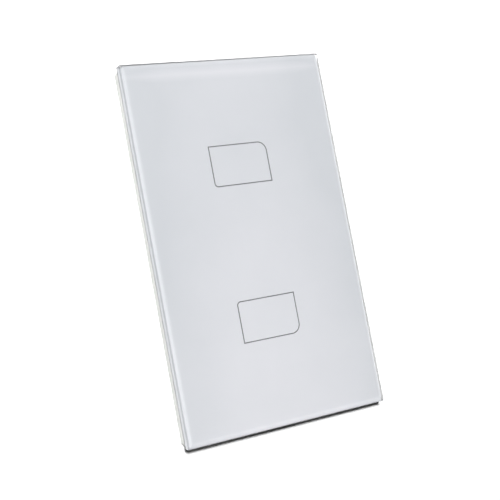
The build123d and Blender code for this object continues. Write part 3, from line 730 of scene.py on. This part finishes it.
def eased(node, width):
    """A copy of a CAD node with rounded edges, in the node's place."""
    mesh = bmesh.new()
    mesh.from_mesh(nodes[node].data)
    bmesh.ops.remove_doubles(mesh, verts=mesh.verts, dist=SAME_PLACE)
    bmesh.ops.dissolve_limit(mesh, angle_limit=FLAT, verts=mesh.verts, edges=mesh.edges)
    for face in mesh.faces:
        face.material_index = 0
    piece = finished(f"eased_{node}", mesh, smooth_below=SHARP)
    bevel = piece.modifiers.new("rounding", "BEVEL")
    bevel.width = width
    bevel.segments = BEVEL_STEPS
    bevel.limit_method = "ANGLE"
    bevel.angle_limit = SHARP
    bevel.use_clamp_overlap = False
    bevel.harden_normals = True
    stand_in(piece, node)


for node, width in EASED_EDGES.items():
    eased(node, width)
print("parts with softened edges:", len(EASED_EDGES))

# %% [markdown]
# ## The terminal screws
#
# Four steel screws with slotted heads pull the wire cages up. In the CAD model each is a plain pin with
# a disc, which is right for collisions but looks unfinished in an open terminal.
#
# The thread is made as a surface of many rings whose radius rises and falls along a right-handed spiral
# with the pitch of an M3 thread. A boolean with a swept triangle would give the same shape, but slower
# and with poorer faces. The head is a disc with two halves on it, each a D shape with a chamfer, and the
# driver's slot is the gap between them.

# %% Threaded shank
PITCH = 0.5 * MM
THREAD_DEPTH = 0.26 * MM
RINGS_PER_TURN = 8
THREAD_SIDES = 32
TIP_SHARE = 0.8
TIP_LENGTH = 0.1 * MM


def thread_radius(crest, along, angle, length):
    """The radius at one point of a thread: a wave along the spiral, run out at both ends."""
    turn = (along / PITCH - angle / tau) % 1.0
    wave = abs(2 * turn - 1.0)
    run_out = min(1.0, along / PITCH, (length - along) / PITCH)
    return crest - THREAD_DEPTH * wave * max(0.0, run_out)


def thread_rings(centre, crest, start, end):
    """The rings of a threaded shank from its tip to its head, with a smaller one for the tip's face."""
    length = end - start
    count = ceil(length / PITCH * RINGS_PER_TURN)
    rings = []
    for ring in range(count + 1):
        along = length * ring / count
        points = []
        for side in range(THREAD_SIDES):
            angle = tau * side / THREAD_SIDES
            radius = thread_radius(crest, along, angle, length)
            points.append((centre.x + radius * sin(angle), centre.z + radius * cos(angle)))
        rings.append((points, start + along))
    first = rings[0][0]
    x, z = centre.x, centre.z
    tip = [(x + (at_x - x) * TIP_SHARE, z + (at_z - z) * TIP_SHARE) for at_x, at_z in first]
    return [(tip, start), (first, start + TIP_LENGTH), *rings[1:]]


print("rings on 6 mm of thread:", ceil(6 * MM / PITCH * RINGS_PER_TURN) + 1)

# %% Slotted head
HEAD_DEPTH = 1.4 * MM
HEAD_CHAMFER = 0.25 * MM
HEAD_SIDES = 48
SHANK_SHARE = 1.5 / 2.3
SHANK_OVERLAP = 0.1 * MM
SLOT_DEPTH = 0.7 * MM
SLOT_HALF = 0.4 * MM
SLOT_CHAMFER = 0.06 * MM
HALVES_OVERLAP = 0.05 * MM


def disc_points(centre, radius):
    angles = [tau * side / HEAD_SIDES for side in range(HEAD_SIDES)]
    return [(centre.x + radius * cos(angle), centre.z + radius * sin(angle)) for angle in angles]


def d_points(centre, radius, cut, end):
    """A disc's upper or lower part, cut off by a straight line."""
    first = asin(cut / radius)
    angles = [first + (pi - 2 * first) * side / HEAD_SIDES for side in range(HEAD_SIDES + 1)]
    reach = end * radius
    return [(centre.x + reach * cos(angle), centre.z + reach * sin(angle)) for angle in angles]


def joined(name, parts):
    """Several objects made into one."""
    mesh = bmesh.new()
    for part in parts:
        mesh.from_mesh(part.data)
        bpy.data.objects.remove(part)
    return finished(name, mesh, smooth_below=SHARP)


def make_screw(name, node):
    low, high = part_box(node)
    centre = (low + high) / 2
    radius = (high.x - low.x) / 2
    head_front = high.y - HEAD_DEPTH
    slot_floor = high.y - SLOT_DEPTH
    rim = disc_points(centre, radius)
    solids = [
        thread_rings(centre, radius * SHANK_SHARE, low.y, head_front + SHANK_OVERLAP),
        [
            (disc_points(centre, radius - HEAD_CHAMFER / 2), head_front),
            (rim, head_front + HEAD_CHAMFER / 2),
            (rim, slot_floor),
        ],
    ]
    for end in (1, -1):
        half = d_points(centre, radius, SLOT_HALF, end)
        top = d_points(centre, radius - HEAD_CHAMFER, SLOT_HALF + SLOT_CHAMFER, end)
        rings = [(half, slot_floor - HALVES_OVERLAP), (half, high.y - HEAD_CHAMFER), (top, high.y)]
        solids.append(rings)
    screw = joined(name, [ring_solid("part", rings) for rings in solids])
    stand_in(screw, node)
    return screw


for number, node in enumerate(TERMINAL_SCREWS, 1):
    screw = make_screw(f"slotted_screw_{number}", node)
print("terminal screws:", len(TERMINAL_SCREWS), "faces in each:", len(screw.data.polygons))

# %% [markdown]
# ## The wall
#
# The switch hangs on a plain white wall, over the opening for its box, and its own shadow shows as a
# dark line under the glass.
#
# An ordinary white sheet would do for a picture from the front. But a large white sheet this close sends
# light back under the glass, and the shadow turns grey. So this wall is white to the rays that show it,
# and black to the rays that matt surfaces send out. Three kinds of ray pass through it. From behind it
# is clear, so that the housing can be looked at. Parts that all but touch it see past it, or their rear
# rims would be black. And light finds its way through it to the panel when that is lifted off.

# %% A wall with an opening
WALL_SIZE = 1.6
WALL_DEPTH = 0.15 * MM
OPENING_WIDTH = 64.4 * MM
OPENING_HEIGHT = 112.4 * MM
WALL_WHITE = (1.2, 1.2, 1.2)
BLACK = (0.0, 0.0, 0.0)
TOUCHING = 1.2 * MM
LIFTED = 14 * MM


def make_wall_paint():
    recipe = Recipe("wall_paint", WALL_WHITE, 1.0)
    path = recipe.add("ShaderNodeLightPath").outputs
    colour = recipe.blend(path["Is Diffuse Ray"], WALL_WHITE, BLACK)
    matt = recipe.add("ShaderNodeBsdfDiffuse", {"Color": colour}).outputs[0]
    touching = recipe.math("LESS_THAN", path["Ray Length"], TOUCHING)
    far = recipe.math("GREATER_THAN", path["Ray Length"], LIFTED)
    lighting = recipe.math("MAXIMUM", path["Is Diffuse Ray"], path["Is Shadow Ray"])
    lifted = recipe.math("MULTIPLY", far, lighting)
    behind = recipe.add("ShaderNodeNewGeometry").outputs["Backfacing"]
    passed = recipe.math("MAXIMUM", recipe.math("MAXIMUM", touching, lifted), behind)
    recipe.let_pass(passed, matt)
    return recipe.material


def make_wall():
    mesh = bmesh.new()
    outline, opening = (
        [mesh.verts.new((side * width / 2, WALL_DEPTH, end * height / 2)) for side, end in CORNERS]
        for width, height in ((WALL_SIZE, WALL_SIZE), (OPENING_WIDTH, OPENING_HEIGHT))
    )
    for index, corner in enumerate(outline):
        before = index - 1
        mesh.faces.new((outline[before], corner, opening[index], opening[before]))
    wall = finished("wall", mesh)
    wall.data.materials.append(make_wall_paint())
    return wall


wall = make_wall()
print("wall:", len(wall.data.polygons), "faces round an opening")

# %% [markdown]
# ## The lamps
#
# The key light is a soft lamp in front, from the left and a little above. Its place sets how wide the
# shadow under the glass is, and its size how soft the shadow's edge is.
#
# One large lamp would be simpler, but it would wash out the shadow, and the narrow sides, which don't
# face the room, would stay dull. So three weak lamps stand far out to the left, to the right and below,
# only a centimetre further into the room than the face of the glass. From there they light the narrow
# sides and hardly graze the wall. One more stands behind the wall, for the housing.

# %% Key, fills and rear light
KEY_PLACE = Vector((-0.55, -1.64, 0.41))
KEY_SIZE = 0.2
KEY_POWER = 31.5
FILL_DEPTH = -0.018
FILL_SIZE = 0.03
LAMPS = (
    ("key", KEY_PLACE, KEY_SIZE, KEY_POWER),
    ("left_fill", Vector((-1.0, FILL_DEPTH, 0.1)), FILL_SIZE, 6.2),
    ("right_fill", Vector((1.0, FILL_DEPTH, 0.1)), FILL_SIZE, 3.4),
    ("lower_fill", Vector((0.2, FILL_DEPTH, -1.0)), FILL_SIZE, 0.7),
    ("rear_light", Vector((-0.7, 1.3, 0.9)), 0.5, 16.0),
)


def make_lamp(name, place, size, power):
    """A round lamp that shines at the glass and shows in no reflection."""
    data = bpy.data.lights.new(name, "AREA")
    data.shape = "DISK"
    data.size = size
    data.energy = power
    lamp = bpy.data.objects.new(name, data)
    lamp.location = place
    lamp.rotation_euler = (VIEW_POINT - place).to_track_quat("-Z", "Y").to_euler()
    lamp.visible_glossy = False
    lamp.visible_transmission = False
    bpy.context.scene.collection.objects.link(lamp)


for name, place, size, power in LAMPS:
    make_lamp(name, place, size, power)
key_angle = 2 * asin(KEY_SIZE / 2 / KEY_PLACE.length) * 180 / pi
print("key lamp looks", round(key_angle, 1), "degrees wide")

# %% [markdown]
# ## What the glass reflects
#
# The world adds a weak light in front, so that the shadow stays dark, and a stronger one behind the
# wall. In reflections it shows a ring of light round the direction that the flat face mirrors: the face
# stays plain, and the ground edges, which turn away from it, get their light bands. The ring is weaker
# at its top and bottom, because the bands along the short edges are fainter.
#
# Real panels of light round the switch would give such bands too, but each of them would also light the
# wall and the face, and nothing could be set by itself. A ray that a matt surface has sent on sees
# neither the white of the world nor the ring, or both would brighten the shadow by way of the glass.

# %% World
WORLD_WHITE = 1.0
WORLD_LIGHT = 0.005
WORLD_BEHIND = 0.6
GROUND_LIGHT = 0.3
GROUND_HEIGHT = -0.6
SKY_LIGHT = 1.1
SKY_HEIGHT = 0.8
BEHIND_START = 0.1
MIRROR_DIRECTION = Vector((0.449, -0.892, 0.054))
RING_INNER = radians(5)
RING_INNER_END = radians(38)
RING_OUTER_END = radians(56)
RING_OUTER = radians(68)
RING_LIGHT = 4.8
RING_LIGHT_HEIGHT = 0.2
RING_ENDS = 1.9
RING_ENDS_HEIGHT = 0.65
HALF_A_BOUNCE = 0.5


def unscattered(graph, path, kind):
    """1 for rays of a kind that no matt surface has sent on yet."""
    early = graph.math("LESS_THAN", path["Diffuse Depth"], HALF_A_BOUNCE)
    return graph.math("MULTIPLY", path[kind], early)


def ring_of_light(graph, direction, height):
    """How bright the ring is in a direction, with plain white inside and outside of it."""
    inputs = {0: direction, 1: MIRROR_DIRECTION}
    cosine = graph.add("ShaderNodeVectorMath", inputs, operation="DOT_PRODUCT").outputs["Value"]
    off_level = graph.math("ABSOLUTE", height)
    ring = graph.span(off_level, RING_LIGHT, RING_ENDS, RING_LIGHT_HEIGHT, RING_ENDS_HEIGHT)
    ring = graph.span(cosine, ring, WORLD_WHITE, cos(RING_INNER_END), cos(RING_INNER))
    return graph.span(cosine, WORLD_WHITE, ring, cos(RING_OUTER), cos(RING_OUTER_END))


def make_world():
    world = bpy.data.worlds.new("studio")
    world.use_nodes = True
    bpy.context.scene.world = world
    graph = Graph(world.node_tree)
    direction = graph.add("ShaderNodeTexCoord").outputs["Generated"]
    part = graph.add("ShaderNodeSeparateXYZ", {0: direction}).outputs
    path = graph.add("ShaderNodeLightPath").outputs
    mirrored = unscattered(graph, path, "Is Glossy Ray")
    refracted = unscattered(graph, path, "Is Transmission Ray")
    seen = graph.math("MAXIMUM", mirrored, refracted)
    seen = graph.math("MAXIMUM", path["Is Camera Ray"], seen)
    light = graph.span(part["Y"], WORLD_LIGHT, WORLD_BEHIND)
    plain = graph.span(seen, light, WORLD_WHITE)
    ring = ring_of_light(graph, direction, part["Z"])
    behind = graph.span(part["Z"], GROUND_LIGHT, SKY_LIGHT, GROUND_HEIGHT, SKY_HEIGHT)
    reflected = graph.span(part["Y"], ring, behind, 0.0, BEHIND_START)
    strength = graph.span(mirrored, plain, reflected)
    inputs = {"Color": (1.0, 1.0, 1.0, 1.0), "Strength": strength}
    graph.set(graph.tree.nodes["Background"], inputs)


make_world()
bpy.context.scene.view_settings.view_transform = "Standard"
print("ring of light:", RING_LIGHT, "times white at its sides and", RING_ENDS, "at its ends")
